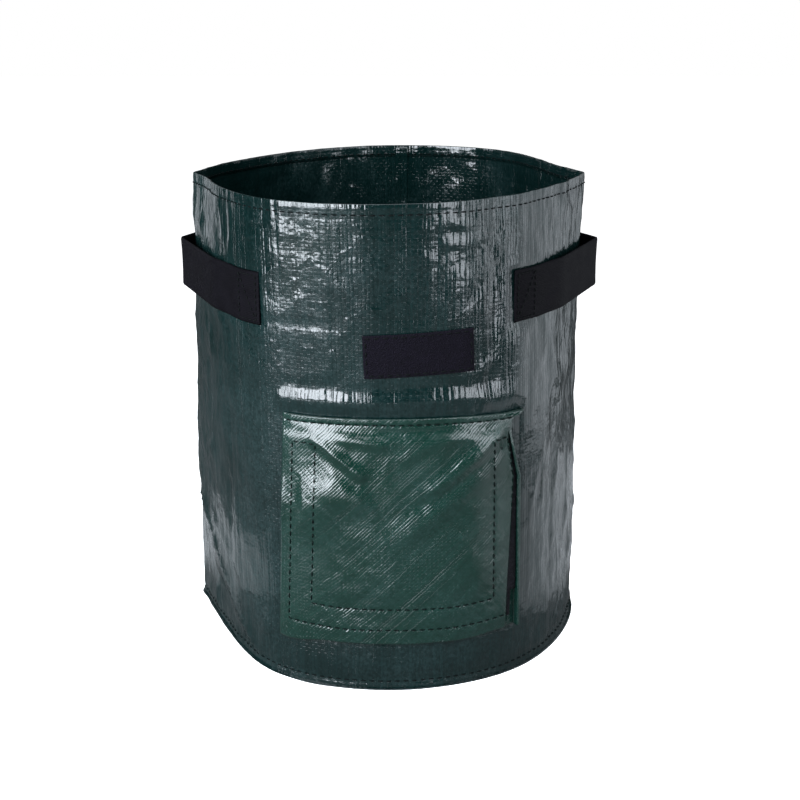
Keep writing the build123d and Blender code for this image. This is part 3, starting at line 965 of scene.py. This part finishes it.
def make_hook_tape(part):
    """One of the three strips of hook tape behind the flap, and its flat size."""
    low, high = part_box(f"hook_tape_{part}")
    # The right strip reaches 2.8 mm past its CAD edge so that its black face shows in the groove beyond
    # the flap's right row: a dark sheet as painted shade in place of the groove's shadow.
    right_edge = high.x + (2.8 * MM if part == "right" else 0)
    top = min(high.z, ROW_TOP + 3 * MM)
    x = np.linspace(low.x, right_edge, 44)[None, :]
    height = np.linspace(low.z, top, 60)[:, None]
    points = smooth_front_point(*flap_place(x, height), TAPE_FACE + TAPE - 0.1 * MM + 0 * x * height)
    width = float(lengths_along(points[len(points) // 2])[-1])
    return lay_sheet(f"hook_strip_{part}", points, x, height, HOOK_TAPE, TAPE), (width, top - low.z)


def sew_flap_line(name, corners):
    """A row of stitches on the flap through corners given as (x, height)."""
    x, height = walk(corners, int(lengths_along(corners)[-1] / MM))
    return sew(name, flap_point(x, height), surface_normals(flap_point, x, height))


def front_strip(name, node, inner, outer, material, columns, rows, tilt=0.0, size=None, lift_at=None):
    """A flat strip on the front of the bag, over the place that its CAD node holds."""
    low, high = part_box(node)
    width, height = size or (high.x - low.x, high.z - low.z)
    across, up = np.meshgrid(np.linspace(-0.5, 0.5, columns), np.linspace(-0.5, 0.5, rows))
    across, up = across * width, up * height
    x, z = tilted(across, up, tilt)
    x, z = x + (low.x + high.x) / 2, z + (low.z + high.z) / 2
    edge = np.minimum(width / 2 - np.abs(across), height / 2 - np.abs(up))
    face = outer - 0.35 * MM * (1 - fade(edge, 0.0, 1.4 * MM))
    lift = face if lift_at is None else lift_at(x, z, face)
    return lay_sheet(name, smooth_front_point(x, z, lift), across, up, material, outer - inner)


def on_wall(x, z, face):
    """Lifts a strip with the wall's own folds."""
    turn = np.arcsin(x / outline_radius(np.arcsin(x / MEAN_RADIUS), z))
    return face + wall_relief(turn, z)


# ---- handles
# Where each strap's two ends are cut and where they leave the wall, in degrees from the front. Then, in
# millimetres, the bend in its rear half and its sharp fold.
STRAPS = {
    "right": dict(side=1, cut=(35, 145), leaves=(44.5, 135.5), bend=(146.7, 14), fold_y=-4),
    "left": dict(side=-1, cut=(33.5, 144), leaves=(46.5, 134.5), bend=(146.7, 17), fold_y=-3),
}


def strap_route(name, place):
    """Half of a strap's centre line in plan, from its cut end to its sharp fold, as (x, y) points."""
    strap = STRAPS[name]
    side = strap["side"]
    index = ("front", "rear").index(place)
    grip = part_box(f"{name}_handle_grip")
    root_x, fold_x = sorted(abs(corner.x) for corner in grip)
    half = WEBBING / 2
    sewn_turns = side * np.radians(np.linspace(strap["cut"][index], strap["leaves"][index], 14))
    radius = outline_radius(sewn_turns, np.full(14, STRAP_MIDDLE)) + half + 0.15 * MM
    free = [(root_x + half, grip[index].y)]
    if place == "rear":
        free.append((strap["bend"][0] * MM + half, strap["bend"][1] * MM))
    free.append((fold_x - half, strap["fold_y"] * MM))
    return np.vstack([at(radius, sewn_turns, 0 * radius)[:, :2], np.array(free) * (side, 1)])


def smooth_route(points, spacing):
    """Even steps along a route, its corners eased, with both ends kept."""
    travelled = lengths_along(points)
    distance = np.linspace(0, travelled[-1], int(travelled[-1] / spacing))
    line = read_along(points, travelled, distance)
    for _ in range(30):
        line[1:-1] = 0.25 * line[:-2] + 0.5 * line[1:-1] + 0.25 * line[2:]
    return line, distance


def make_strap_half(name, place):
    """Half a handle strap: sewn to the wall, then standing off it up to its sharp fold."""
    line, distance = smooth_route(strap_route(name, place), 1.1 * MM)
    ahead = unit(np.gradient(line, axis=0))
    outward = np.stack([ahead[:, 1], -ahead[:, 0]], axis=1)
    if np.dot(outward[len(line) // 2], line.mean(axis=0)) < 0:
        outward = -outward
    half_width = (STRAP_TOP - STRAP_BOTTOM) / 2 - 0.1 * MM
    # Round the section: across the face, round one selvage, back, and round the other.
    across = np.concatenate([np.linspace(-1, 1, 25), np.linspace(1, -1, 25)])[:, None]
    sign = np.repeat([1, -1], 25)[:, None]
    edge = np.clip((1 - np.abs(across)) * half_width / (0.8 * MM), 0, 1)
    depth = sign * WEBBING / 2 * np.sqrt(1 - (1 - edge) ** 2)
    wave = 0.5 * MM * lattice_noise(distance, 0 * distance, 22 * MM, 1.0, 15)
    cup = 0.5 * MM * (1 - across**2) * fade(distance, 26 * MM, 60 * MM)
    x, y = (line[:, k] + outward[:, k] * (depth - cup) for k in (0, 1))
    points = np.stack([x, y, STRAP_MIDDLE + across * half_width + wave], axis=-1)
    title = f"{name}_strap_{place}"
    mesh = grid_mesh(title, points, distance, across * half_width)

    def close_section(form):
        bmesh.ops.remove_doubles(form, verts=form.verts, dist=0.01 * MM)
        bmesh.ops.holes_fill(form, edges=[e for e in form.edges if e.is_boundary])
        bmesh.ops.recalc_face_normals(form, faces=form.faces)

    strap = add_object(title, edit_mesh(mesh, close_section), WEBBING_CLOTH)
    return strap, float(distance[-1]), (line, outward)


def sew_strap_box(name, place, plan):
    """The box of stitches, with one diagonal, that holds one end of a strap."""
    line, outward = plan
    near, far = 3 * MM, 22 * MM
    low, high = STRAP_BOTTOM + 3 * MM, STRAP_TOP - 3 * MM
    along, z = walk([(near, low), (far, low), (far, high), (near, high), (near, low), (far, high)], 160)
    centre, out = np.hsplit(read_along(np.hstack([line, outward]), lengths_along(line), along), 2)
    points = np.column_stack([centre + out * WEBBING / 2, z])
    normals = np.column_stack([out, 0 * z])
    return sew(f"{name}_strap_{place}_stitches", points, normals, pitch=4.2 * MM, length=3.2 * MM)


def dress(piece, slot, *nodes, body="bag"):
    """Puts a piece on its body, or for the flap bakes its place in, and hides the CAD nodes that it
    stands for. The slot is not used.
    """
    if body == "flap":
        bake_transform(piece)
    else:
        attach(piece, body)
    if nodes:
        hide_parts(*nodes)


def build_wall():
    wall, flat, hole = make_wall()
    dress(wall, "wall_cloth", "side_wall")
    allowance = make_back_seam()
    dress(allowance, "wall_cloth")
    inside = -(2 * CLOTH + HEM_GAP)
    rows = [
        (sew_round("rim_stitches_outside", RIM_STITCH_HEIGHT, 0.0), "rim_hem_thread"),
        (sew_round("rim_stitches_inside", RIM_STITCH_HEIGHT, inside, inner=True), "rim_hem_thread"),
        (sew_round("base_stitches", BASE_STITCH_HEIGHT, 0.1 * MM), "base_seam_thread"),
    ]
    for k, offset in enumerate((-3.5 * MM, 3.5 * MM)):
        turn = BACK_SEAM_TURN + offset / MEAN_RADIUS
        row = sew_upright(f"back_seam_stitches_{k + 1}", turn, 12 * MM, RIM_STITCH_HEIGHT - 2 * MM)
        rows.append((row, "back_seam_thread"))
    for row, node in rows:
        dress(row, "thread", node)


def build_base():
    base = make_base()
    dress(base, "wall_cloth", "base_panel")


def build_flap():
    flap = make_flap()
    dress(flap, "flap_cloth", "flap_panel", "flap_hinge_hem", body="flap")
    hem = make_hem_fold()
    dress(hem, "flap_cloth", body="flap")
    hem_line = [(FLAP_LEFT + 2 * MM, FLAP_STITCH_HEIGHT), (FLAP_RIGHT - 2 * MM, FLAP_STITCH_HEIGHT)]
    lines = [("flap_top_stitches", hem_line, ["flap_hinge_thread"])]
    for kind, (left, right, bottom) in (("outer", OUTER_ROW), ("inner", INNER_ROW)):
        corners = [(left, ROW_TOP), (left, bottom), (right, bottom), (right, ROW_TOP)]
        lines.append((f"flap_{kind}_stitches", corners, [f"flap_{kind}_thread"]))
    lines.append(("flap_bar_left", [(OUTER_LEFT, ROW_TOP), (INNER_LEFT, ROW_TOP)], []))
    lines.append(("flap_bar_right", [(INNER_RIGHT, ROW_TOP), (OUTER_RIGHT, ROW_TOP)], []))
    for title, corners, nodes in lines:
        row = sew_flap_line(title, corners)
        dress(row, "thread", *nodes, body="flap")
    for part in ("left", "right", "bottom"):
        tape, flat = make_hook_tape(part)
        dress(tape, "hook_tape", f"hook_tape_{part}", body="flap")


def build_wall_tapes():
    for part in ("left", "right", "bottom"):
        node = f"loop_tape_{part}"
        loop = front_strip(f"loop_strip_{part}", node, -0.3 * MM, 1.2 * MM, LOOP_TAPE, 40, 60)
        dress(loop, "loop_tape", node)


def build_patch():
    flat = (PATCH_WIDTH, PATCH_HEIGHT)
    layer = ("keeper_patch", -0.2 * MM, 1.5 * MM, LOOP_TAPE, 90, 44)
    patch = front_strip("keeper_patch_pile", *layer, tilt=PATCH_TILT, size=flat, lift_at=on_wall)
    inset = 2 * MM
    half = (PATCH_WIDTH / 2 - inset, PATCH_HEIGHT / 2 - inset)
    corners = np.array([(-1, -1), (1, -1), (1, 1), (-1, 1), (-1, -1)]) * half
    x, z = tilted(*walk(corners, 220), PATCH_TILT)
    x, z = x + PATCH_MIDDLE.x, z + PATCH_MIDDLE.z
    points = smooth_front_point(x, z, on_wall(x, z, 1.35 * MM))
    row = sew("keeper_patch_stitches", points, at(1.0, np.arcsin(x / MEAN_RADIUS), 0 * z))
    dress(patch, "loop_tape", "keeper_patch")
    dress(row, "thread", "keeper_patch_thread")


def build_handles():
    for name in STRAPS:
        handle = f"{name}_handle"
        grip_low, grip_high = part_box(f"{handle}_grip")
        for place, root_y, towards in (("front", grip_low.y, 1), ("rear", grip_high.y, -1)):
            strap, length, plan = make_strap_half(name, place)
            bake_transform(strap)
            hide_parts(f"{handle}_{place}_leg", f"{handle}_grip")
            box = sew_strap_box(name, place, plan)
            dress(box, "thread", f"{handle}_{place}_thread")


# ---- studio
ROOM_LIGHT = 0.075  # what the dark room behind the lamps gives, while the backdrop itself shows white
# Each lamp's name, azimuth, distance, height, width, tallness, brightness, and the height it faces.
SOFTBOXES = (
    ("left softbox", -57, 1.1, 0.46, 0.36, 0.9, 18.0, 0.2),
    ("left softbox by the camera", -30, 1.1, 0.46, 0.5, 0.9, 21.0, 0.2),
    ("right softbox", 42, 1.1, 0.46, 0.37, 0.9, 8.5, 0.2),
    ("right strip", 72, 1.1, 0.46, 0.22, 0.9, 3.6, 0.2),
    ("right side panel", 97, 0.46, 0.3, 0.62, 0.58, 1.15, 0.2),
    ("right card on the floor", 92, 0.32, 0.004, 0.6, 0.28, 0.6, 50.0),
    ("left card on the floor", -94, 0.235, 0.004, 0.3, 0.1, 0.6, 50.0),
    ("left rim strip", -140, 1.3, 0.5, 0.3, 1.0, 1.1, 0.2),
    ("overhead softbox", 10, 0.5, 1.5, 1.2, 1.2, 4.0, 0.2),
)


def add_softbox(name, azimuth, distance, height, width, tall, brightness, aim):
    """An upright lamp panel that faces the bag. Azimuth 0 is in front, positive towards +X."""
    lamp = bpy.data.lights.new(name, "AREA")
    lamp.shape = "RECTANGLE"
    lamp.size, lamp.size_y = width, tall
    lamp.energy = brightness * math.pi * width * tall
    lamp.color = (0.87, 0.93, 1.0)
    panel = bpy.data.objects.new(name, lamp)
    a = math.radians(azimuth)
    panel.location = (distance * math.sin(a), -distance * math.cos(a), height)
    towards = Vector((0, 0, aim)) - panel.location
    panel.rotation_euler = towards.to_track_quat("-Z", "Y").to_euler()
    panel.visible_camera = False
    bpy.context.scene.collection.objects.link(panel)
    return panel


def build_studio():
    scene = bpy.context.scene
    scene.view_settings.view_transform = "Standard"
    world = bpy.data.worlds.new("studio")
    world.use_nodes = True
    sky = Nodes(world.node_tree)
    seen = sky.add("LightPath").outputs["Is Camera Ray"]
    colour = sky.mix(seen, (*[ROOM_LIGHT] * 3, 1), (1, 1, 1, 1))
    sky.put(colour, world.node_tree.nodes["Background"].inputs["Color"])
    scene.world = world

    material, n, shader = new_material(
        "studio floor", (0.3, 0.3, 0.3), Roughness=0.9, Specular_IOR_Level=0.1, Emission_Strength=1.0
    )
    seen = n.add("LightPath").outputs["Is Camera Ray"]
    for title, hidden, shown in (("Base Color", 0.12, 0.9), ("Emission Color", 0.0, 0.95)):
        n.put(n.mix(seen, (*[hidden] * 3, 1), (*[shown] * 3, 1)), shader.inputs[title])

    def lay_floor(form):
        bmesh.ops.create_grid(form, x_segments=8, y_segments=8, size=6.0)

    mesh = edit_mesh(bpy.data.meshes.new("studio_floor"), lay_floor)
    floor = add_object("studio_floor", mesh, material)
    floor.location.z = -0.2 * MM

    for lamp_row in SOFTBOXES:
        add_softbox(*lamp_row)

    camera = bpy.data.cameras.new("camera")
    camera.lens, camera.sensor_width = 60, 36
    view = bpy.data.objects.new("camera", camera)
    view.location = (0.009, -1.0, 0.487)
    view.rotation_euler = (math.radians(90 - 17.6), 0, 0)
    scene.collection.objects.link(view)
    scene.camera = view


build_studio()
build_wall()
build_base()
build_flap()
build_wall_tapes()
build_patch()
build_handles()
